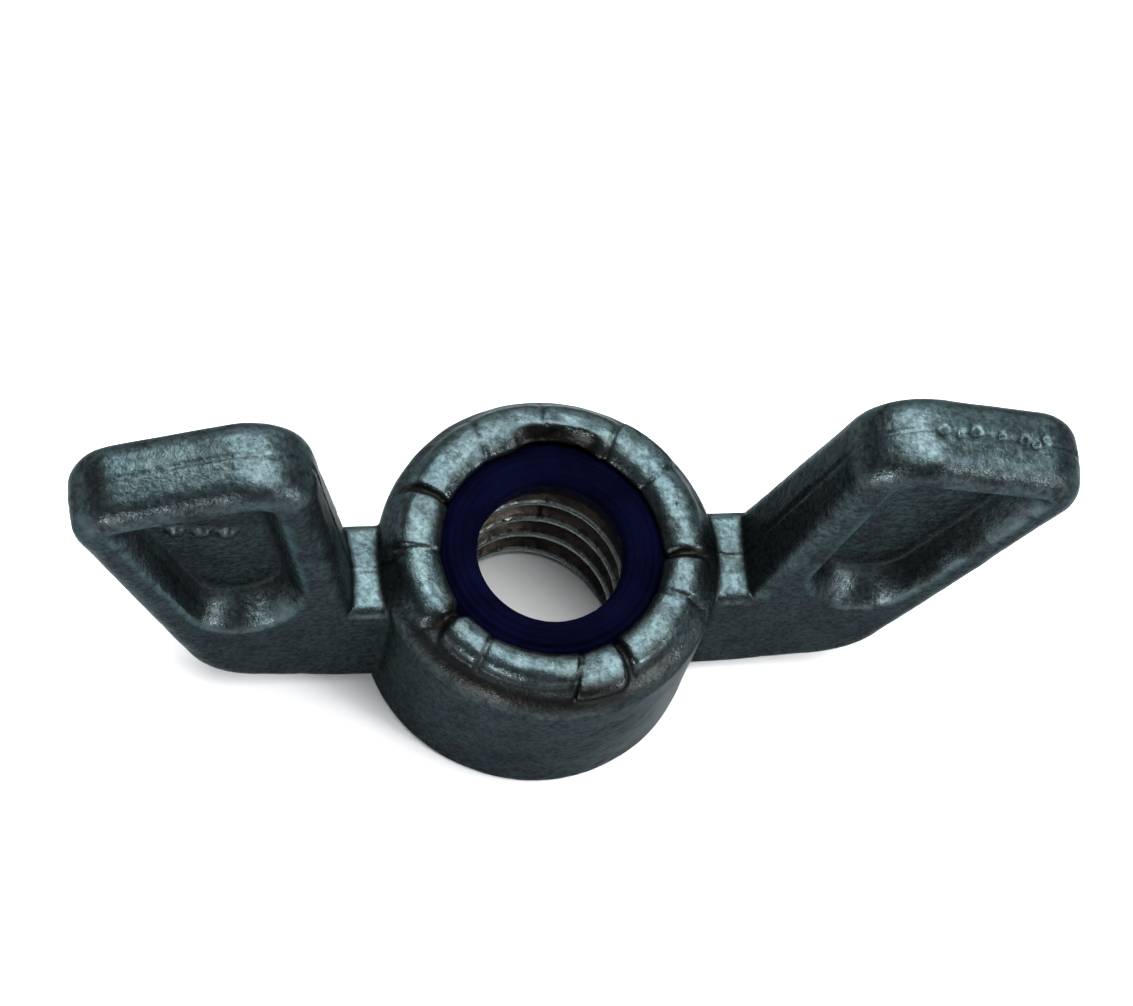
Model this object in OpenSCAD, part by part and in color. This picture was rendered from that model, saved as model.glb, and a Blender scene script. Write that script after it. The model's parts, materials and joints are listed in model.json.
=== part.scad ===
// Wing nut with a crimped-in nylon locking insert, for a 1/4 inch, 20 threads per inch screw.
// A one-piece die casting carries a round hub, two flat arms and two recessed wings.
// The bore runs along Z, the wings reach out along X, and the seating face is at z = 0.

/* [Hub] */
// Radius of the hub at its seating face
hub_r = 5.24; // [5.0:0.02:5.6]
// Radius of the hub where it flares out below its shoulder
hub_flare_r = 5.46; // [5.3:0.02:5.8]
// Height of the middle of the rounded shoulder
shoulder_z = 5.67; // [5.4:0.01:5.9]
// Radius of the rounding of the shoulder
shoulder_round = 0.6; // [0.4:0.05:0.7]
// Rounding of the lower outside edge
base_round = 0.15; // [0.1:0.05:0.6]

/* [Crimped lip] */
// Height of the top of the crimped lip
lip_top_z = 7.0; // [6.9:0.05:7.3]
// Radius of the opening inside the lip
lip_inner_r = 3.68; // [3.5:0.01:3.8]
// Radius of the rounded cross-section of the lip
lip_round = 0.45; // [0.35:0.01:0.5]
// Number of punch marks round the lip
crimp_count = 12; // [8:1:16]
// Width of the groove between two punch marks
crimp_groove_w = 0.16; // [0.1:0.02:0.3]
// Depth of the groove between two punch marks
crimp_groove_depth = 0.28; // [0.1:0.02:0.4]

/* [Thread] */
// Distance between two threads
pitch = 1.27; // [1.1:0.01:1.28]
// Radius of the thread's crests, its minor radius
thread_minor_r = 2.6; // [2.5:0.01:2.65]
// Radius of the thread's roots, its major radius
thread_major_r = 3.175; // [3.1:0.005:3.3]
// Number of grooves between the countersink and the insert
thread_count = 4; // [1:1:4]
// Radius of the countersink at the seating face
countersink_r = 3.2; // [3.0:0.05:3.6]

/* [Locking insert] */
// Radius of the plain bore of the insert
insert_bore_r = 2.33; // [2.2:0.01:2.44]
// Radius of the pocket that the insert sits in
insert_r = 4.2; // [4.0:0.05:4.3]
// Height of the seat under the insert
insert_seat_z = 5.4; // [5.35:0.05:5.5]
// Height of the top face of the insert
insert_top_z = 6.72; // [6.6:0.01:6.8]
// Rounding of the two edges of the bore of the insert
insert_edge_round = 0.25; // [0.1:0.05:0.4]

/* [Arms and wings] */
// Thickness of the arms that join the hub to the wings
arm_t = 3.17; // [2.8:0.01:3.6]
// Height of the lower face of the arms
arm_bottom_z = 0.3; // [0.1:0.05:0.6]
// Height of the upper face of the arms
arm_top_z = 5.67; // [5.2:0.01:6.0]
// Rounding of the four long edges of an arm
arm_round = 0.4; // [0.2:0.05:0.9]
// Distance from the axis to the foot of the wing's inner edge
wing_foot_x = 6.46; // [6.2:0.02:7.0]
// Thickness of the wings at their rim
wing_t = 2.94; // [2.4:0.02:3.1]
// Rounding of the edges of the rim, seen in cross-section
rim_round = 0.8; // [0.4:0.05:1.0]
// Thickness of the web between the two recesses of a wing
web_t = 0.9; // [0.6:0.05:1.4]

/* [Hidden] */

zinc = [0.36, 0.40, 0.41];
navy_nylon = [0.06, 0.05, 0.16];

overlap = 0.5;
thin = 0.05;
blend_sides = 32;
arm_root_x = 4.6;
arm_end_x = wing_foot_x + 0.8;
mouth_y = arm_t / 2;

foot_round = rim_round + 0.1;

// Corner circles of a wing in the X-Z plane, each [x, z, radius, half the wing's thickness there]
wing_corners = [
    [wing_foot_x + foot_round, arm_top_z, foot_round, arm_t / 2],
    [wing_foot_x + 1.2, arm_bottom_z + 1.2, 1.2, arm_t / 2],
    [8.65, arm_bottom_z + 2.9, 2.9, arm_t / 2],
    [14.28, 11.9, 1.84, wing_t / 2],
    [10.7, 12.78, 2.3, wing_t / 2]
];

// Corner circles of a recess at the face of the wing, and at the web
recess_mouth = [[9.2, 7.0, 1.2], [9.95, 6.0, 1.6], [14.7, 12.3, 0.5], [10.6, 13.2, 1.0]];
recess_floor = [[9.7, 7.6, 0.8], [10.2, 6.9, 1.4], [13.7, 11.9, 0.4], [10.9, 12.6, 0.6]];

thread_crest_w = pitch / 8;
countersink_z = insert_seat_z - thread_crest_w - thread_count * pitch;

// Points of a circular arc round [cx, cy], from angle a to angle b
function arc(cx, cy, r, a, b, steps = 8) =
    [for (i = [0 : steps]) let (t = a + (b - a) * i / steps) [cx + r * cos(t), cy + r * sin(t)]];

lip_mid_r = lip_inner_r + lip_round;
lip_mid_z = lip_top_z - lip_round;
lip_seat_r = lip_inner_r + 0.12;
lip_seat_z = lip_mid_z - 0.25;
insert_shoulder_z = lip_seat_z - (insert_r - lip_seat_r);

// Half cross-section of the hub, from the seating face up the outside and down the bore
module hub_profile() {
    polygon(concat(
        [[countersink_r, 0]],
        arc(hub_r - base_round, base_round, base_round, -90, 0),
        arc(hub_flare_r - shoulder_round, shoulder_z, shoulder_round, 0, 90),
        arc(lip_mid_r, lip_mid_z, lip_round, -10, 180, 16),
        [[lip_seat_r, lip_seat_z],
         [insert_r, insert_shoulder_z],
         [insert_r, insert_seat_z],
         [thread_minor_r, insert_seat_z],
         [thread_minor_r, countersink_z]]
    ));
}

// One ring-shaped thread groove, between two crests
module thread_groove(z) {
    translate([0, 0, z])
    rotate_extrude($fn = 96)
    polygon([
        [thread_minor_r - overlap, 0],
        [thread_minor_r, 0],
        [thread_major_r, (pitch - thread_crest_w) / 2 - pitch / 16],
        [thread_major_r, (pitch - thread_crest_w) / 2 + pitch / 16],
        [thread_minor_r, pitch - thread_crest_w],
        [thread_minor_r - overlap, pitch - thread_crest_w]
    ]);
}

// The radial grooves that part the punch marks of the crimped lip
module crimp_grooves() {
    for (i = [0 : crimp_count - 1])
        rotate([0, 0, (i + 0.5) * 360 / crimp_count])
        translate([lip_inner_r - overlap, -crimp_groove_w / 2, lip_top_z - crimp_groove_depth])
        cube([2 * (lip_round + overlap), crimp_groove_w, 1]);
}

module hub() {
    difference() {
        rotate_extrude($fn = 96) hub_profile();
        for (i = [0 : thread_count - 1])
            thread_groove(countersink_z + thread_crest_w + i * pitch);
        crimp_grooves();
    }
}

// A disc at each corner circle of a recess, between two distances from the mid-plane
module recess_discs(corners, from_y, to_y) {
    for (c = corners)
        translate([c[0], from_y, c[1]])
        rotate([-90, 0, 0])
        cylinder(r = c[2], h = to_y - from_y, $fn = blend_sides);
}

// A disc at each corner circle of the wing, with its radius and thickness taken in
module wing_discs(take_in_r, take_in_y) {
    for (c = wing_corners)
        translate([c[0], take_in_y - c[3], c[1]])
        rotate([-90, 0, 0])
        cylinder(r = c[2] - take_in_r, h = 2 * (c[3] - take_in_y), $fn = blend_sides);
}

// The solid wing, with rounded edges, thinner towards its tip
module wing_blank() {
    half_way = rim_round * (1 - cos(45));
    hull() {
        wing_discs(0, rim_round);
        wing_discs(half_way, half_way);
        wing_discs(rim_round, 0);
    }
}

// One recess with sloping walls, from the web out past the face of the wing
module recess() {
    hull() {
        recess_discs(recess_floor, web_t / 2, web_t / 2 + thin);
        recess_discs(recess_mouth, mouth_y, mouth_y + thin);
    }
}

// The arm, a bar with rounded edges from inside the hub's wall to inside the wing
module arm() {
    half = arm_t / 2 - arm_round;
    translate([arm_root_x, 0, 0])
    rotate([90, 0, 90])
    linear_extrude(arm_end_x - arm_root_x)
    polygon(concat(
        arc(half, arm_top_z - arm_round, arm_round, 0, 90, 4),
        arc(-half, arm_top_z - arm_round, arm_round, 90, 180, 4),
        arc(-half, arm_bottom_z + arm_round, arm_round, 180, 270, 4),
        arc(half, arm_bottom_z + arm_round, arm_round, 270, 360, 4)
    ));
}

module arm_and_wing() {
    difference() {
        union() {
            wing_blank();
            arm();
        }
        recess();
        mirror([0, 1, 0]) recess();
    }
}

module wing_nut_body() {
    color(zinc) {
        hub();
        for (side = [0, 1])
            mirror([side, 0, 0]) arm_and_wing();
    }
}

module locking_insert() {
    color(navy_nylon)
    rotate_extrude($fn = 96)
    polygon(concat(
        arc(insert_bore_r + insert_edge_round, insert_seat_z + insert_edge_round,
            insert_edge_round, 180, 270, 6),
        [[insert_r, insert_seat_z],
         [insert_r, insert_shoulder_z],
         [lip_seat_r, lip_seat_z],
         [lip_inner_r - 0.3, insert_top_z]],
        arc(insert_bore_r + insert_edge_round, insert_top_z - insert_edge_round,
            insert_edge_round, 90, 180, 6)
    ));
}

wing_nut_body();
locking_insert();
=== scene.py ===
"""Wing nut with a crimped-in nylon locking insert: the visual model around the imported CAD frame.

The casting is one mesh, drawn from a distance field: hub, shoulder, crimped lip, screw thread,
arms and recessed wings. The insert is a lathe mesh. Lengths are in millimetres until a mesh is made.
"""

import json
import math

import bpy
import numpy as np
from mathutils import Matrix, Vector


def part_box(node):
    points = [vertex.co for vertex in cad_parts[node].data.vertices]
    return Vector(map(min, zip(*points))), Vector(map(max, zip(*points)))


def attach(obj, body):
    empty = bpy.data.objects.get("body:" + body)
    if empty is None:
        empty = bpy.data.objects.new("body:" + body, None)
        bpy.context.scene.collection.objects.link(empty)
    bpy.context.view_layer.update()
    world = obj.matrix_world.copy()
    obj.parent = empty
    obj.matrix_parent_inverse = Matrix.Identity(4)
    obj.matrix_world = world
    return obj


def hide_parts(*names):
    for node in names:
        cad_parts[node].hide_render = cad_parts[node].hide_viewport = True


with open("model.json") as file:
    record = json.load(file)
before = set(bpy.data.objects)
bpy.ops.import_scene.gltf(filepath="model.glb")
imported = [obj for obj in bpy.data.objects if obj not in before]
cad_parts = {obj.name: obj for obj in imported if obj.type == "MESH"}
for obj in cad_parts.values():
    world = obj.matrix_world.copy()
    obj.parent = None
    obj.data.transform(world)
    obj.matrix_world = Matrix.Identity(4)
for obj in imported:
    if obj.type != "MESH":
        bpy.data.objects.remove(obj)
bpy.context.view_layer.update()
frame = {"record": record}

MM = 0.001
CELL = 0.09
MOST_TRIANGLES = 190_000


# ---------------------------------------------------------------- sizes, from the frame

def millimetres(corner):
    return [c / MM for c in corner]


body_low, body_high = [millimetres(c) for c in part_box("wing_nut_body")]
ring_low, ring_high = [millimetres(c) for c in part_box("locking_insert")]
mounts = {m["name"]: m for m in frame["record"]["mounts"]}

HALF_SPAN = body_high[0]
FLARE_R = body_high[1]
TOP_Z = body_high[2]
RING_R = ring_high[0]
SEAT_Z = ring_low[2]
RING_TOP_Z = ring_high[2]
THREAD_R = mounts["screw_thread"]["dims"]["r_mm"]
RING_BORE_R = mounts["locking_bore"]["dims"]["r_mm"]

PITCH = 1.27
THREAD_ROOT_R = THREAD_R + 0.575
BASE_R = FLARE_R - 0.22
SHOULDER_Z = 5.45
SHOULDER_ROUND = 1.0
BASE_ROUND = 0.15
COUNTERSINK_R = 3.2
COUNTERSINK_Z = 0.16
POCKET_STRAIGHT = 0.5
POCKET_TOP_R = 3.8
LIP_R = 4.2
LIP_Z = 6.5
LIP_HALF_WIDTH = 0.58
LIP_HALF_HEIGHT = 0.46
PUNCH_BULGE = 0.022
FAR_GAP_ANGLE = 82
FAR_GAP_DEPTH = 0.42
FAR_GAP_HALF = 1.2
ARM_HALF = 1.585
ARM_LOW_Z = 0.3
ARM_TOP_Z = 5.67
ARM_EDGE = 0.38
ARM_ROOT_X = 4.7
FOOT_X = 6.46
RIM_HALF = 1.47
RIM_ROUND = 0.8
WEB_HALF = 0.45
DRAFT = 0.09

# Corner circles of the right wing in the X-Z plane: x, z, radius
WING_CORNERS = [
    (FOOT_X + 0.9, ARM_TOP_Z, 0.9),
    (FOOT_X + 1.2, ARM_LOW_Z + 1.2, 1.2),
    (8.65, ARM_LOW_Z + 2.9, 2.9),
    (HALF_SPAN - 1.84, 11.9, 1.84),
    (10.7, TOP_Z - 2.3, 2.3),
]
RECESS_MOUTH = [(9.2, 7.0, 1.2), (9.95, 6.0, 1.6), (14.7, 12.3, 0.5), (10.6, 13.2, 1.0)]
RECESS_FLOOR = [(9.7, 7.6, 0.8), (10.2, 6.9, 1.4), (13.7, 11.9, 0.4), (10.9, 12.6, 0.6)]


# ---------------------------------------------------------------- distance-field tools

def smooth_min(a, b, k):
    """Two shapes joined, with a soft blend about k wide between them."""
    h = np.clip(0.5 + 0.5 * (b - a) / k, 0, 1)
    return b + (a - b) * h - k * h * (1 - h)


def round_max(a, b, r):
    """The overlap of two shapes, with its edge rounded to radius r."""
    u = np.maximum(a + r, 0)
    v = np.maximum(b + r, 0)
    return np.minimum(np.maximum(a, b), -r) + np.sqrt(u * u + v * v)


def round_min(a, b, r):
    """Two shapes joined, with a fillet of radius r between them."""
    u = np.maximum(r - a, 0)
    v = np.maximum(r - b, 0)
    return np.maximum(np.minimum(a, b), r) - np.sqrt(u * u + v * v)


def wrap(angle):
    """An angle in degrees brought to -180..180."""
    return (angle + 180) % 360 - 180


LATTICE = np.random.default_rng(11).uniform(-1, 1, (32, 32, 32)).astype(np.float32)


def noise(x, y, z, scale, shift=0):
    """Smooth seeded noise from -1 to 1, with features about scale mm wide."""
    cell, part = [], []
    for v in (x, y, z):
        v = v / scale + shift + 64.0
        whole = np.floor(v)
        t = v - whole
        cell.append(whole.astype(np.int32))
        part.append(t * t * (3 - 2 * t))
    total = 0
    for i in (0, 1):
        for j in (0, 1):
            for k in (0, 1):
                weight = 1
                for t, side in zip(part, (i, j, k)):
                    weight = weight * (t if side else 1 - t)
                total = total + weight * LATTICE[(cell[0] + i) % 32, (cell[1] + j) % 32, (cell[2] + k) % 32]
    return total


def convex_outline(circles, steps=6):
    """The closed convex outline round some circles, as points in counter-clockwise order."""
    turns = np.arange(steps * 8) * 2 * math.pi / (steps * 8)
    points = np.array([
        (x + r * math.cos(t), z + r * math.sin(t)) for x, z, r in circles for t in turns
    ])
    order = sorted(range(len(points)), key=lambda i: (points[i][0], points[i][1]))

    def half(indices):
        chain = []
        for i in indices:
            while len(chain) > 1:
                a, b = points[chain[-2]], points[chain[-1]]
                cross = (b[0] - a[0]) * (points[i][1] - a[1]) - (b[1] - a[1]) * (points[i][0] - a[0])
                if cross > 1e-9:
                    break
                chain.pop()
            chain.append(i)
        return chain[:-1]

    return points[half(order) + half(order[::-1])]


def outline_distance(outline, x, z):
    """Signed distance from points (x, z) to a convex outline, negative inside."""
    nearest = np.full(x.shape, 1e9, np.float32)
    outside = np.full(x.shape, -1e9, np.float32)
    for a, b in zip(outline, np.roll(outline, -1, axis=0)):
        edge = b - a
        length = math.hypot(*edge)
        if length < 1e-6:
            continue
        edge = edge / length
        dx = x - a[0]
        dz = z - a[1]
        along = np.clip(dx * edge[0] + dz * edge[1], 0, length)
        nearest = np.minimum(nearest, (dx - along * edge[0]) ** 2 + (dz - along * edge[1]) ** 2)
        outside = np.maximum(outside, dx * edge[1] - dz * edge[0])
    return np.where(outside > 0, np.sqrt(nearest), -np.sqrt(nearest))


WING_OUTLINE = convex_outline(WING_CORNERS)
MOUTH_OUTLINE = convex_outline(RECESS_MOUTH)
FLOOR_OUTLINE = convex_outline(RECESS_FLOOR)


# ---------------------------------------------------------------- the casting

# The seams between the punch marks of the lip: angle in degrees, depth, half width in mm
SEAMS = [
    (-5.3, 0.22, 0.13), (32.5, 0.04, 0.07), (57.5, 0.06, 0.10), (88.0, 0.04, 0.06),
    (117.5, 0.035, 0.06), (152.0, 0.20, 0.10), (178.0, 0.05, 0.06), (212.5, 0.30, 0.24),
    (234.0, 0.07, 0.09), (276.0, 0.08, 0.06), (297.0, 0.18, 0.12), (335.0, 0.05, 0.07),
]
# The punch marks, each from its seam to the next: shift outwards, shift up, extra width, extra height
PUNCHES = [
    (0.08, 0.02, 0.10, 0.02), (0.16, 0.03, 0.18, 0.00), (0.06, 0.00, 0.14, 0.00),
    (0.08, 0.02, 0.14, 0.00), (0.08, 0.02, 0.12, 0.02), (0.06, 0.03, 0.14, 0.00),
    (0.06, -0.06, 0.12, 0.00), (-0.02, 0.00, 0.02, 0.03), (-0.05, -0.02, -0.02, 0.02),
    (0.18, -0.02, 0.24, -0.02), (0.00, 0.02, 0.06, 0.02), (0.08, 0.04, 0.10, 0.04),
]


def crimped_lip(r, theta, z):
    """The rolled lip: a bead round the bore that changes from punch mark to punch mark."""
    angle = np.degrees(theta)
    shift = np.zeros_like(r)
    rise = np.zeros_like(r)
    width = np.zeros_like(r)
    height = np.zeros_like(r)
    bulge = np.zeros_like(r)
    notch = np.zeros_like(r)
    angle = angle + 5 * (r - 4.3) * noise(0 * r, angle / 40, 0 * r, 1.0, 2)
    for i, (start, depth, half) in enumerate(SEAMS):
        end = SEAMS[(i + 1) % len(SEAMS)][0]
        span = (end - start) % 360
        u = wrap(angle - start - span / 2) / (span / 2)
        weight = np.clip((1.06 - np.abs(u)) / 0.12, 0, 1)
        out, up, wide, high = PUNCHES[i]
        shift += out * weight
        rise += up * weight
        width += wide * weight
        height += high * weight
        bulge += PUNCH_BULGE * np.clip(1 - u * u, 0, 1) * weight
        arc = np.radians(wrap(angle - start)) * LIP_R
        notch += depth * np.exp(-(arc / half) ** 2)
    far_arc = np.radians(wrap(angle - FAR_GAP_ANGLE)) * LIP_R
    far_gap = FAR_GAP_DEPTH * np.exp(-(far_arc / FAR_GAP_HALF) ** 4) * np.clip((4.15 - r) / 0.3, 0, 1)
    notch += far_gap * (1 + 0.5 * noise(angle / 9, 0 * r, z, 1.0, 31))
    half_w = LIP_HALF_WIDTH + 0.8 * width
    half_h = LIP_HALF_HEIGHT + height
    v = (r - LIP_R - shift) / half_w
    w = (z - LIP_Z - rise) / half_h
    bead = (np.sqrt(v * v + w * w) - 1) * np.minimum(half_w, half_h)
    return bead - bulge + notch


def bore_radius(theta, z):
    """Radius of the threaded bore at an angle and a height: a right-hand 60 degree thread."""
    phase = (z / PITCH - theta / (2 * math.pi) + 0.5) % 1
    from_crest = np.abs(phase - 0.5) * PITCH
    groove = np.clip((from_crest - PITCH / 16) * math.sqrt(3), 0, THREAD_ROOT_R - THREAD_R)
    countersink = COUNTERSINK_R - (COUNTERSINK_R - THREAD_R) * z / COUNTERSINK_Z
    return np.maximum(THREAD_R + groove, countersink)


def hub(x, y, z):
    """The round hub with its bore, the pocket of the insert and the crimped lip."""
    r = np.sqrt(x * x + y * y)
    theta = np.arctan2(y, x)
    wall = r - (BASE_R + (FLARE_R - BASE_R) * z / SHOULDER_Z)
    solid = round_max(wall, z - SHOULDER_Z - SHOULDER_ROUND, SHOULDER_ROUND)
    solid = round_max(solid, -z, BASE_ROUND)
    pocket_r = np.clip(RING_R - (z - SEAT_Z - POCKET_STRAIGHT), POCKET_TOP_R, RING_R)
    solid = np.maximum(solid, np.where(z > SEAT_Z, pocket_r - r, bore_radius(theta, z) - r))
    front = np.exp(-(wrap(np.degrees(theta) + 108) / 50) ** 2)
    return smooth_min(solid, crimped_lip(r, theta, z), 0.38 - 0.26 * front)


def wing_half_thickness(x, z):
    """Half the wing's thickness at a point of its outline: full at the rim, thin at the web."""
    blend = np.clip((z - ARM_TOP_Z) / (12.0 - ARM_TOP_Z), 0, 1)
    full = ARM_HALF + (RIM_HALF - ARM_HALF) * blend
    mouth = outline_distance(MOUTH_OUTLINE, x, z)
    floor = outline_distance(FLOOR_OUTLINE, x, z)
    t = np.clip(-mouth / np.maximum(floor - mouth, 1e-3), 0, 1)
    t = np.where(floor <= 0, 1, t)
    soft = 0.4
    drop = (np.sqrt(t * t + soft * soft) - soft) / (math.sqrt(1 + soft * soft) - soft)
    return full + (WEB_HALF - full) * drop


def wing_side_view(x, z):
    """Distance to the outline of an arm and its wing together, seen along Y."""
    wing = outline_distance(WING_OUTLINE, x, z)
    arm_end_x = FOOT_X + 1.3
    arm = np.maximum(np.maximum(z - ARM_TOP_Z, ARM_LOW_Z - z), np.maximum(ARM_ROOT_X - x, x - arm_end_x))
    fillet = 0.02 + 0.08 * np.clip((z - ARM_TOP_Z + 0.9) / 0.6, 0, 1)
    return smooth_min(wing, arm, fillet)


def arm_and_wing(x, y, z, side_view, half):
    """One arm and its wing, for x over 0."""
    ay = np.abs(y)
    edge = ARM_EDGE + (RIM_ROUND - ARM_EDGE) * np.clip((x - FOOT_X + 0.1) / 2.2, 0, 1)
    return round_max(side_view + DRAFT * (ay - 0.6), ay - half, edge)


# Small round pips standing in the recess of the left wing: x, z, radius, height
PIPS = [(-10.9, 10.1, 0.27, 0.2), (-11.75, 10.25, 0.27, 0.2), (-12.6, 10.45, 0.27, 0.2)]
# Casting pits near the parting line on the top of the right wing: x, y, radius
PITS = [
    (11.35, 0.02, 0.19), (11.95, -0.05, 0.11), (12.45, 0.14, 0.18), (13.35, 0.10, 0.10),
    (14.1, 0.05, 0.15), (14.5, -0.1, 0.14), (14.85, 0.16, 0.11),
]


def casting(x, y, z):
    """Signed distance to the smooth casting."""
    ax = np.abs(x)
    on_grid = x.ndim == 3
    px, pz = (ax[:, :1, :], z[:, :1, :]) if on_grid else (ax, z)
    wings = arm_and_wing(ax, y, z, wing_side_view(px, pz), wing_half_thickness(px, pz))
    if ax.min() > FLARE_R + 0.5:
        return wings
    return round_min(wings, hub(x, y, z), 0.1)


def parting_line(x, y, z):
    """How deep a point lies in the groove of the parting line of the arms and wings, in mm."""
    ax = np.abs(x)
    sway = 0.10 * noise(x, 0 * x, z, 3.1, 5)
    depth = 0.06 + 0.035 * noise(x, 0 * x, z, 1.1, 9)
    reach = np.clip((ax - FLARE_R + 0.1) / 0.3, 0, 1)
    return depth * np.exp(-((y - sway) / 0.085) ** 2) * reach


def pits(x, y, z):
    """1 in the middle of a casting pit, 0 away from them."""
    deep = np.zeros_like(x)
    for px, py, pr in PITS:
        deep += np.exp(-(((x - px) ** 2 + (y - py) ** 2) / pr ** 2) ** 2)
    return deep * np.clip((z - 13.0) / 0.8, 0, 1)


def unevenness(x, y, z):
    """How far the cast skin lies outside the smooth shape, in mm."""
    out = 0.020 * noise(x, y, z, 2.3) + 0.012 * noise(x, y, z, 0.9, 3) + 0.006 * noise(x, y, z, 0.35, 7)
    out = out - parting_line(x, y, z)
    r = np.sqrt(x * x + y * y)
    bore = np.clip((3.5 - r) / 0.2, 0, 1)
    out = out * (1 - 0.8 * bore)
    lip = np.clip(1 - np.abs(r - 4.3) / 0.9, 0, 1) * np.clip((z - 6.2) / 0.4, 0, 1)
    out = out + lip * (0.05 * noise(x, y, z, 0.7, 13) + 0.035 * noise(x, y, z, 0.3, 17))
    out = out - 0.17 * pits(x, y, z)
    for px, pz, pr, height in PIPS:
        near = np.sqrt((x - px) ** 2 + (z - pz) ** 2)
        out = out + height * np.clip((pr - near) / 0.1 + 0.5, 0, 1) * (y < 0)
    low_face = np.clip((z - 0.3) / 0.3, 0, 1)
    high_face = np.clip((TOP_Z - 0.02 - z) / 0.15, 0, 1)
    return np.where(out > 0, out * low_face * high_face, out)


# ---------------------------------------------------------------- mesh from the field

def grid_field(cell):
    """The field on a regular grid round the casting: its values and the grid's lowest corner."""
    low = np.array(body_low) - 3 * cell
    high = np.array(body_high) + 3 * cell
    axes = [np.arange(low[i], high[i] + cell, cell, dtype=np.float32) for i in range(3)]
    values = np.empty([len(a) for a in axes], np.float32)
    slab = 24
    for start in range(0, len(axes[0]), slab):
        x, y, z = np.meshgrid(axes[0][start:start + slab], axes[1], axes[2], indexing="ij")
        values[start:start + slab] = casting(x, y, z)
    return values, low


def surface_nets(values, low, cell):
    """Quads round the zero level of a grid of values."""
    inside = values < 0
    corner = [(i, j, k) for i in (0, 1) for j in (0, 1) for k in (0, 1)]
    nx, ny, nz = (n - 1 for n in values.shape)
    count = np.zeros((nx, ny, nz), np.int8)
    for i, j, k in corner:
        count += inside[i:i + nx, j:j + ny, k:k + nz]
    cells = np.argwhere((count > 0) & (count < 8))
    index = np.full((nx, ny, nz), -1, np.int64)
    index[tuple(cells.T)] = np.arange(len(cells))
    total = np.zeros((len(cells), 3))
    hits = np.zeros(len(cells))
    for a in corner:
        for axis in range(3):
            if a[axis]:
                continue
            b = list(a)
            b[axis] = 1
            fa = values[tuple((cells + a).T)]
            fb = values[tuple((cells + b).T)]
            crossing = (fa < 0) != (fb < 0)
            t = np.where(crossing, fa / np.where(crossing, fa - fb, 1), 0)
            point = np.array(a, float) + np.zeros((len(cells), 3))
            point[:, axis] = t
            total += point * crossing[:, None]
            hits += crossing
    points = low + (cells + total / hits[:, None]) * cell
    quads = []
    for axis in range(3):
        u, v = [(1, 2), (2, 0), (0, 1)][axis]
        first = [slice(1, -1)] * 3
        second = [slice(1, -1)] * 3
        first[axis] = slice(0, -1)
        second[axis] = slice(1, None)
        a = inside[tuple(first)]
        b = inside[tuple(second)]
        at = np.argwhere(a != b)
        low_side = a[tuple(at.T)]
        base = at + 1
        base[:, axis] -= 1
        ring = []
        for du, dv in ((-1, -1), (0, -1), (0, 0), (-1, 0)):
            c = base.copy()
            c[:, u] += du
            c[:, v] += dv
            ring.append(index[tuple(c.T)])
        ring = np.stack(ring, 1)
        ring[~low_side] = ring[~low_side][:, ::-1]
        quads.append(ring)
    return points, np.concatenate(quads)


def field_gradient(points, step=0.01):
    """The slope of the casting's field at each point."""
    gradient = np.empty_like(points)
    for axis in range(3):
        offset = np.zeros(3)
        offset[axis] = step
        ahead = casting(*(points + offset).T)
        behind = casting(*(points - offset).T)
        gradient[:, axis] = (ahead - behind) / (2 * step)
    return gradient


def stain_and_painted_shade(points):
    """How dark the skin is painted: stained in the lip's deepest seams, and painted shade in the gap at its
    far edge and under its front.
    """
    x, y, z = points.T
    angle = np.degrees(np.arctan2(y, x))
    r = np.hypot(x, y)
    total = np.zeros(len(points))
    for at, depth, half in SEAMS:
        arc = np.radians(wrap(angle - at)) * LIP_R
        total += np.clip(depth * 8 - 0.9, 0, 1) * np.exp(-(arc / (half + 0.08)) ** 2)
    # Painted shade: the lip's far inner edge is darkened where it stands over the gap above the insert
    far = np.exp(-(wrap(angle - 80) / 26) ** 4) * np.clip((4.25 - r) / 0.25, 0, 1)
    seam_stain_and_gap_shade = np.clip(total + far, 0, 1) * np.clip((z - 6.0) / 0.4, 0, 1) * (r < 5.2)
    # Painted shade: a dark band on the shoulder under the front of the lip
    front = np.exp(-(wrap(angle + 100) / 55) ** 4) * np.exp(-((r - 5.08) / 0.3) ** 4)
    front = front * np.clip((z - 5.55) / 0.3, 0, 1)
    return np.maximum(seam_stain_and_gap_shade, 0.95 * front)


def settle(points, cell, rounds=2):
    """Moves points onto the zero level of the field."""
    for _ in range(rounds):
        value = casting(*points.T)
        gradient = field_gradient(points)
        size = np.maximum((gradient ** 2).sum(1), 0.05)
        move = -gradient * (value / size)[:, None]
        length = np.sqrt((move ** 2).sum(1))
        move *= np.minimum(1, 0.5 * cell / np.maximum(length, 1e-9))[:, None]
        points = points + move
    return points


def mesh_object(name, points, quads):
    """A smooth-shaded object from points in millimetres and an array of four-sided faces."""
    mesh = bpy.data.meshes.new(name)
    mesh.vertices.add(len(points))
    mesh.vertices.foreach_set("co", (points * MM).astype(np.float32).ravel())
    mesh.loops.add(quads.size)
    mesh.loops.foreach_set("vertex_index", quads.ravel().astype(np.int32))
    mesh.polygons.add(len(quads))
    mesh.polygons.foreach_set("loop_start", np.arange(0, quads.size, 4, dtype=np.int32))
    mesh.update(calc_edges=True)
    mesh.validate()
    mesh.shade_smooth()
    obj = bpy.data.objects.new(name, mesh)
    bpy.context.scene.collection.objects.link(obj)
    return obj


def apply_modifiers(obj):
    depsgraph = bpy.context.evaluated_depsgraph_get()
    mesh = bpy.data.meshes.new_from_object(obj.evaluated_get(depsgraph))
    obj.modifiers.clear()
    obj.data = mesh


def edge_and_hollow(points, reach=0.3):
    """How sharply the surface turns at each point: over 0 on an edge, under 0 in a hollow."""
    total = np.zeros(len(points))
    for axis in range(3):
        offset = np.zeros(3)
        offset[axis] = reach
        total += casting(*(points + offset).T) + casting(*(points - offset).T)
    return total / reach


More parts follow.
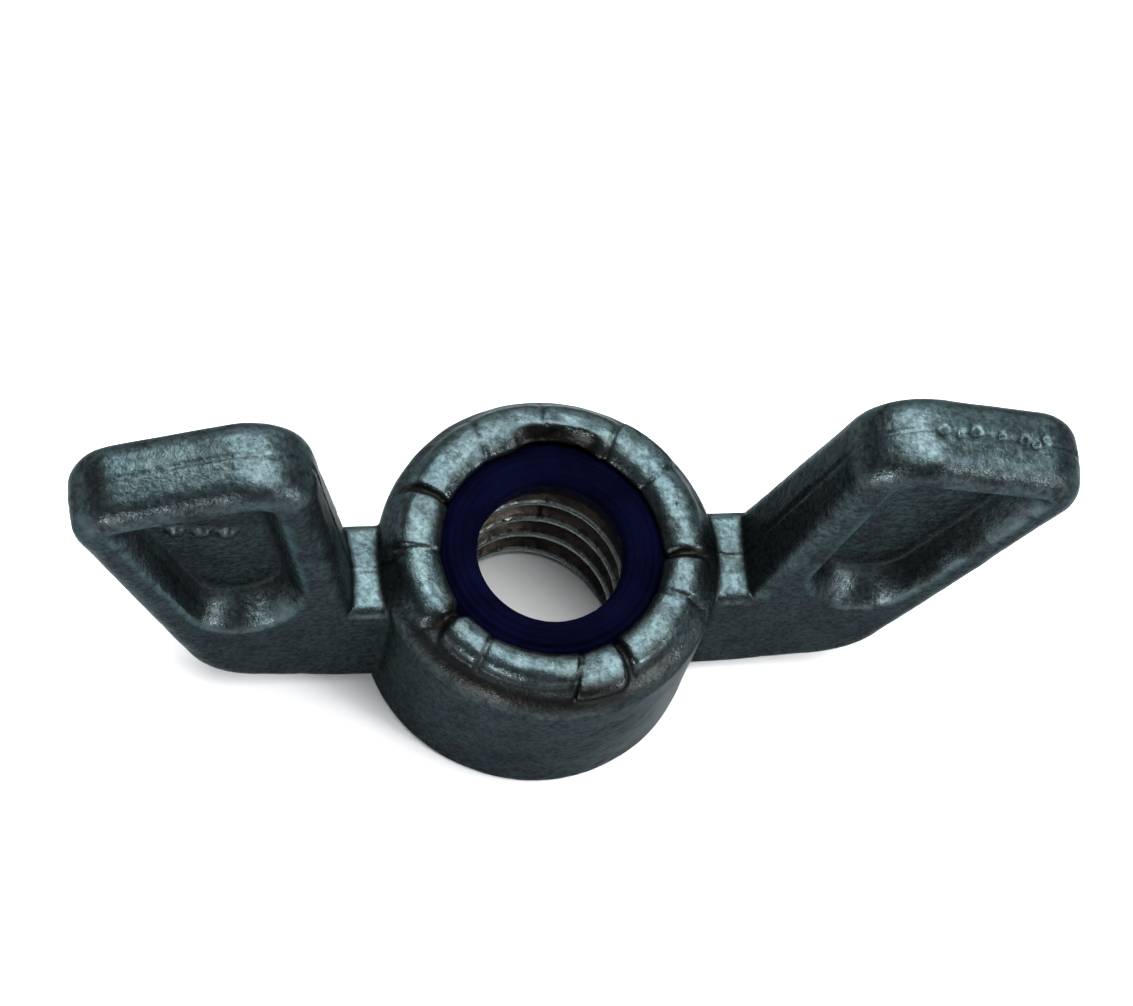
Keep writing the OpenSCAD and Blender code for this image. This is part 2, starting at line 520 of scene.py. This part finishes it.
def give_attribute(obj, name, values):
    layer = obj.data.attributes.new(name, "FLOAT", "POINT")
    layer.data.foreach_set("value", np.asarray(values, np.float32))


def build_casting():
    """The casting: its surface with the skin's unevenness, and the attributes that its material reads."""
    values, low = grid_field(CELL)
    points, quads = surface_nets(values, low, CELL)
    points = settle(points, CELL)
    normal = field_gradient(points)
    normal /= np.maximum(np.sqrt((normal ** 2).sum(1)), 1e-6)[:, None]
    shape = edge_and_hollow(points)
    points = points + normal * unevenness(*points.T)[:, None]
    points[:, 2] = np.maximum(points[:, 2], 0)
    obj = mesh_object("zinc_casting", points, quads)
    give_attribute(obj, "edge", np.clip(shape, 0, 1))
    give_attribute(obj, "hollow", np.clip(-shape + 1.3 * pits(*points.T), 0, 1.3))
    from_axis = np.hypot(points[:, 0], points[:, 1])
    reach = np.clip((from_axis - 4.7) / 0.3, 0, 1)
    high = np.clip((points[:, 2] - 6.5) / 1.5, 0, 1)
    give_attribute(obj, "parting", reach * (1 - 0.5 * high) * np.clip(1.6 - 2 * np.abs(normal[:, 1]), 0, 1))
    give_attribute(obj, "upward", np.clip(normal[:, 2], 0, 1))
    # Stains in the seams of the lip, and painted shade at its far edge and under its front
    give_attribute(obj, "stain_and_painted_shade", stain_and_painted_shade(points))
    bore = np.clip((3.45 - from_axis) / 0.2, 0, 1)
    give_attribute(obj, "bore", bore * np.clip((points[:, 2] - COUNTERSINK_Z) / 0.1, 0, 1))
    triangles = 2 * len(quads)
    if triangles > MOST_TRIANGLES:
        thin = obj.modifiers.new("thin_out", "DECIMATE")
        thin.ratio = MOST_TRIANGLES / triangles
        apply_modifiers(obj)
        obj.data.shade_smooth()
    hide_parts("wing_nut_body")
    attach(obj, "root")
    return obj


# Distance between two turning ridges on the top of the insert
RIDGE_PITCH = 0.24
# Cross-section of the insert, from its seat up the bore and over the top to the outside: r, z
RING_PROFILE = [
    (RING_R - 0.02, SEAT_Z + 0.02), (RING_BORE_R + 0.18, SEAT_Z + 0.02),
    (RING_BORE_R + 0.03, SEAT_Z + 0.16), (RING_BORE_R + 0.01, SEAT_Z + 0.45),
    (RING_BORE_R + 0.01, RING_TOP_Z - 0.5), (RING_BORE_R + 0.06, RING_TOP_Z - 0.28),
    (RING_BORE_R + 0.2, RING_TOP_Z - 0.13), (RING_BORE_R + 0.42, RING_TOP_Z - 0.06),
    (3.2, RING_TOP_Z - 0.09), (3.45, RING_TOP_Z - 0.22),
    (3.65, RING_TOP_Z - 0.42), (3.85, RING_TOP_Z - 0.62), (RING_R - 0.02, RING_TOP_Z - 0.88),
]


def build_insert():
    """The insert: a lathe mesh with fine turning ridges on its top and in its bore."""
    closed = np.array(RING_PROFILE + RING_PROFILE[:1])
    path = np.r_[0, np.cumsum(np.hypot(*np.diff(closed, axis=0).T))]
    steps = 150
    turns = 256
    at = np.linspace(0, path[-1], steps, endpoint=False)
    r = np.interp(at, path, closed[:, 0])
    z = np.interp(at, path, closed[:, 1])
    a = np.linspace(0, 2 * math.pi, turns, endpoint=False)
    rr, aa = np.meshgrid(r, a, indexing="ij")
    zz = np.broadcast_to(z[:, None], rr.shape)
    x, y = rr * np.cos(aa), rr * np.sin(aa)
    wave = noise(x, y, zz, 1.4, 21)
    top = np.clip((zz - RING_TOP_Z + 0.6) / 0.3, 0, 1) * np.clip((3.6 - rr) / 0.2, 0, 1)
    ridge = np.sin((rr + aa * RIDGE_PITCH / (2 * math.pi)) * 2 * math.pi / RIDGE_PITCH)
    zz = zz + top * (0.018 * ridge + 0.03 * wave - 0.03)
    points = np.stack([x, y, zz], -1).reshape(-1, 3)
    i, j = np.meshgrid(np.arange(steps), np.arange(turns), indexing="ij")
    k, m = (i + 1) % steps, (j + 1) % turns
    quads = np.stack([i * turns + j, i * turns + m, k * turns + m, k * turns + j], -1).reshape(-1, 4)
    obj = mesh_object("nylon_insert", points, quads)
    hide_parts("locking_insert")
    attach(obj, "root")
    return obj


casting_obj = build_casting()
insert_obj = build_insert()


# ---------------------------------------------------------------- materials

# Linear colours of the zinc: its broad patches, and what lies over them
ZINC_PATCHES = [(0.3, (0.042, 0.069, 0.080)), (0.5, (0.054, 0.080, 0.085)), (0.7, (0.052, 0.085, 0.094))]
BLOTCHES = [(0.36, (0.70, 0.66, 0.64)), (0.5, (1, 1, 1)), (0.66, (1.15, 1.18, 1.12))]
SPECKLES = [(0.38, (0.5, 0.5, 0.5)), (0.5, (1, 1, 1)), (0.62, (1.5, 1.5, 1.5))]
# Painted shade: the colour is multiplied by this on faces that do not face straight up, so sides read darker
# than tops
SIDE_PAINTED_SHADE = (0.40, 0.345, 0.34, 1)
WORN_METAL = (0.048, 0.065, 0.070, 1)
# Dirt and painted shade: near-black laid into hollows, creases and pits
GRIME_AND_PAINTED_SHADE = (0.007, 0.008, 0.009, 1)
# Brown stains in the lip's seams, and painted shade in the gap at its far edge and under its front
STAIN_AND_PAINTED_SHADE = (0.009, 0.0065, 0.0055, 1)
PARTING_BLACK = (0.008, 0.008, 0.008, 1)
BORE_BROWNS = [(0.38, (0.026, 0.022, 0.019)), (0.6, (0.056, 0.043, 0.034))]
# Painted highlight: bright colour laid on the crests of the screw thread
THREAD_CREST_HIGHLIGHT = (0.40, 0.44, 0.43, 1)
NYLON_BLUES = [(0.35, (0.0006, 0.0008, 0.0040)), (0.65, (0.0012, 0.0015, 0.0080))]
FLOOR_WHITES = [(0.3, (0.90, 0.905, 0.91)), (0.7, (0.93, 0.93, 0.93))]


class Material:
    """A node material, with short ways to add nodes and link them."""

    def __init__(self, name):
        self.data = bpy.data.materials.new(name)
        self.data.use_nodes = True
        self.nodes = self.data.node_tree.nodes
        self.links = self.data.node_tree.links
        self.surface = self.nodes["Principled BSDF"]
        self.place = self.nodes.new("ShaderNodeTexCoord").outputs["Object"]

    def put(self, socket, value):
        if isinstance(value, bpy.types.NodeSocket):
            self.links.new(value, socket)
        else:
            socket.default_value = value

    def noise(self, per_mm, detail, roughness):
        node = self.nodes.new("ShaderNodeTexNoise")
        self.put(node.inputs["Vector"], self.place)
        node.inputs["Scale"].default_value = per_mm / MM
        node.inputs["Detail"].default_value = detail
        node.inputs["Roughness"].default_value = roughness
        return node.outputs["Fac"]

    def ramp(self, value, stops):
        node = self.nodes.new("ShaderNodeValToRGB")
        self.put(node.inputs["Fac"], value)
        elements = node.color_ramp.elements
        while len(elements) < len(stops):
            elements.new(0.5)
        for element, (at, color) in zip(elements, stops):
            element.position = at
            element.color = (*color, 1)
        return node.outputs["Color"]

    def mix(self, amount, a, b, how="MIX"):
        node = self.nodes.new("ShaderNodeMix")
        node.data_type = "RGBA"
        node.blend_type = how
        for socket, value in zip((node.inputs["Factor"], node.inputs[6], node.inputs[7]), (amount, a, b)):
            self.put(socket, value)
        return node.outputs[2]

    def math(self, how, a, b=0.5):
        node = self.nodes.new("ShaderNodeMath")
        node.operation = how
        self.put(node.inputs[0], a)
        self.put(node.inputs[1], b)
        return node.outputs[0]

    def spread(self, value, low, high, to_low=0.0, to_high=1.0):
        node = self.nodes.new("ShaderNodeMapRange")
        for name, v in (
            ("Value", value), ("From Min", low), ("From Max", high), ("To Min", to_low), ("To Max", to_high),
        ):
            self.put(node.inputs[name], v)
        return node.outputs["Result"]

    def attribute(self, name):
        node = self.nodes.new("ShaderNodeAttribute")
        node.attribute_name = name
        return node.outputs["Fac"]

    def thread_crest(self):
        """1 on the crests of the screw thread, 0 between them."""
        parts = self.nodes.new("ShaderNodeSeparateXYZ")
        self.put(parts.inputs[0], self.place)
        x, y, z = parts.outputs
        turn = self.math("MULTIPLY", self.math("ARCTAN2", y, x), 1 / (2 * math.pi))
        rise = self.math("MULTIPLY", z, 1 / (PITCH * MM))
        phase = self.math("FRACT", self.math("ADD", self.math("SUBTRACT", rise, turn), 10.5))
        from_crest = self.math("ABSOLUTE", self.math("SUBTRACT", phase, 0.5))
        return self.spread(from_crest, 0.08, 0.115, 1.0, 0.0)

    def bump(self, height, distance_mm, strength, under=None):
        node = self.nodes.new("ShaderNodeBump")
        self.put(node.inputs["Height"], height)
        node.inputs["Distance"].default_value = distance_mm * MM
        node.inputs["Strength"].default_value = strength
        if under is not None:
            self.put(node.inputs["Normal"], under)
        return node.outputs["Normal"]


def parting_mask(m):
    """1 on the thin dark line along the mid-plane, broken up by noise."""
    across = m.nodes.new("ShaderNodeSeparateXYZ")
    m.put(across.inputs[0], m.place)
    sway = m.spread(m.noise(0.5, 5, 0.7), 0.3, 0.7, -0.16 * MM, 0.16 * MM)
    off_line = m.math("ABSOLUTE", m.math("SUBTRACT", across.outputs["Y"], sway))
    line = m.spread(off_line, 0.02 * MM, 0.075 * MM, 1.0, 0.0)
    line = m.math("MULTIPLY", line, m.spread(m.noise(1.3, 3, 0.6), 0.42, 0.55, 0.1, 1.0))
    return m.math("MULTIPLY", line, m.attribute("parting"))


def zinc_material():
    """Blue-grey cast zinc: mottled, worn on its edges, darker on its sides with painted shade, darkened in
    its hollows by dirt and painted shade, stained and painted with shade about the lip, and brown in the
    bore with painted highlights on the thread crests.
    """
    m = Material("zinc_casting")
    broad = m.noise(0.35, 3, 0.6)
    blotch = m.noise(1.1, 5, 0.65)
    grain = m.noise(5.0, 4, 0.7)
    worn = m.math("MULTIPLY", m.spread(m.attribute("edge"), 0.25, 0.9), m.spread(blotch, 0.4, 0.62))
    # Dirt and painted shade in the hollows: darkens creases, recesses and pits, and the same mask roughens
    # them
    grime_and_shade = m.spread(m.attribute("hollow"), 0.35, 1.1)
    # Brown stains in the lip's seams, plus painted shade at its far edge and under its front
    stain_and_shade = m.math("MULTIPLY", m.attribute("stain_and_painted_shade"), m.spread(grain, 0.35, 0.6, 0.6, 0.95))
    # In the bore: brown roots, with a painted highlight on the thread crests
    in_bore = m.mix(m.thread_crest(), m.ramp(blotch, BORE_BROWNS), THREAD_CREST_HIGHLIGHT)

    color = m.mix(0.85, m.ramp(broad, ZINC_PATCHES), m.ramp(blotch, BLOTCHES), "MULTIPLY")
    color = m.mix(0.85, color, m.ramp(grain, SPECKLES), "MULTIPLY")
    # Painted shade: faces turned away from straight up are darkened, faces that look straight up keep the
    # full colour
    painted_shade_on_sides = m.mix(1.0, color, SIDE_PAINTED_SHADE, "MULTIPLY")
    color = m.mix(m.spread(m.attribute("upward"), 0.78, 0.99), painted_shade_on_sides, color)
    color = m.mix(worn, color, WORN_METAL)
    color = m.mix(m.math("MULTIPLY", grime_and_shade, 0.55), color, GRIME_AND_PAINTED_SHADE)
    color = m.mix(stain_and_shade, color, STAIN_AND_PAINTED_SHADE)
    color = m.mix(m.math("MULTIPLY", m.attribute("bore"), 0.9), color, in_bore)
    color = m.mix(parting_mask(m), color, PARTING_BLACK)
    m.put(m.surface.inputs["Base Color"], color)
    m.surface.inputs["Metallic"].default_value = 0.9
    m.surface.inputs["Specular Tint"].default_value = (0.31, 0.36, 0.37, 1)

    rough = m.spread(blotch, 0.35, 0.65, 0.35, 0.29)
    rough = m.math("SUBTRACT", rough, m.math("MULTIPLY", worn, 0.14))
    m.put(m.surface.inputs["Roughness"], m.math("ADD", rough, m.math("MULTIPLY", grime_and_shade, 0.25)))
    skin = m.bump(m.noise(2.2, 5, 0.6), 0.042, 0.9)
    m.put(m.surface.inputs["Normal"], m.bump(m.noise(9.0, 3, 0.7), 0.018, 1.0, skin))
    return m.data


def nylon_material():
    """Dark blue-violet nylon with a satin surface."""
    m = Material("navy_nylon")
    m.put(m.surface.inputs["Base Color"], m.ramp(m.noise(0.8, 4, 0.6), NYLON_BLUES))
    m.put(m.surface.inputs["Roughness"], m.spread(m.noise(3.0, 4, 0.6), 0.35, 0.65, 0.34, 0.55))
    m.surface.inputs["Specular IOR Level"].default_value = 0.006
    m.surface.inputs["Specular Tint"].default_value = (0.2, 0.25, 1.0, 1)
    m.put(m.surface.inputs["Normal"], m.bump(m.noise(6.0, 3, 0.6), 0.012, 0.6))
    return m.data


def floor_material():
    m = Material("floor")
    m.put(m.surface.inputs["Base Color"], m.ramp(m.noise(0.02, 4, 0.5), FLOOR_WHITES))
    m.surface.inputs["Roughness"].default_value = 0.9
    m.surface.inputs["Specular IOR Level"].default_value = 0.1
    return m.data


casting_obj.data.materials.append(zinc_material())
insert_obj.data.materials.append(nylon_material())


# ---------------------------------------------------------------- camera, floor and light

# Where the camera looks, its angles in degrees, and its distance and focal length in millimetres
TARGET = (1.504, 3.591, 1.775)
ELEVATION = 65.49
AZIMUTH = 23.51
ROLL = 19.5
DISTANCE = 989.8
LENS = 986.6
FLOOR_HALF = 110
FLOOR_Z = -0.01


def add_camera():
    e, a, roll = (math.radians(v) for v in (ELEVATION, AZIMUTH, ROLL))
    back = Vector((-math.sin(a) * math.cos(e), -math.cos(a) * math.cos(e), math.sin(e)))
    right = Vector((math.cos(a), -math.sin(a), 0))
    up = back.cross(right)
    turned_right = math.cos(roll) * right + math.sin(roll) * up
    turned_up = back.cross(turned_right)
    data = bpy.data.cameras.new("camera")
    data.lens = LENS
    data.sensor_width = 36
    data.clip_end = 20
    camera = bpy.data.objects.new("camera", data)
    place = (Vector(TARGET) + back * DISTANCE) * MM
    turn = Matrix((turned_right, turned_up, back)).transposed()
    camera.matrix_world = Matrix.Translation(place) @ turn.to_4x4()
    bpy.context.scene.collection.objects.link(camera)
    bpy.context.scene.camera = camera


def add_floor():
    corners = ((-1, -1), (1, -1), (1, 1), (-1, 1))
    points = np.array([(x * FLOOR_HALF, y * FLOOR_HALF, FLOOR_Z) for x, y in corners])
    floor = mesh_object("floor", points, np.array([[0, 1, 2, 3]]))
    floor.data.materials.append(floor_material())


def add_area_light(name, place, size, power):
    """A rectangular light at a place in metres, turned towards the origin."""
    data = bpy.data.lights.new(name, "AREA")
    data.shape = "RECTANGLE"
    data.size = size[0]
    data.size_y = size[1]
    data.energy = power
    light = bpy.data.objects.new(name, data)
    turn = Vector(place).to_track_quat("Z", "Y").to_matrix().to_4x4()
    light.matrix_world = Matrix.Translation(Vector(place)) @ turn
    bpy.context.scene.collection.objects.link(light)


def add_world():
    world = bpy.data.worlds.new("studio")
    world.use_nodes = True
    background = world.node_tree.nodes["Background"]
    background.inputs["Color"].default_value = (0.9, 0.95, 1.0, 1)
    background.inputs["Strength"].default_value = 0.38
    bpy.context.scene.world = world


add_camera()
add_floor()
add_world()
add_area_light("overhead", (0.10, 0.10, 0.5), (1.15, 0.44), 10.8)
add_area_light("back_sweep", (0.15, 0.60, 0.16), (0.90, 0.30), 1.65)
add_area_light("left_panel", (-0.26, -0.42, 0.07), (0.08, 0.06), 1.9)
add_area_light("right_panel", (0.39, -0.28, 0.13), (0.08, 0.06), 1.9)
bpy.context.scene.view_settings.view_transform = "Standard"
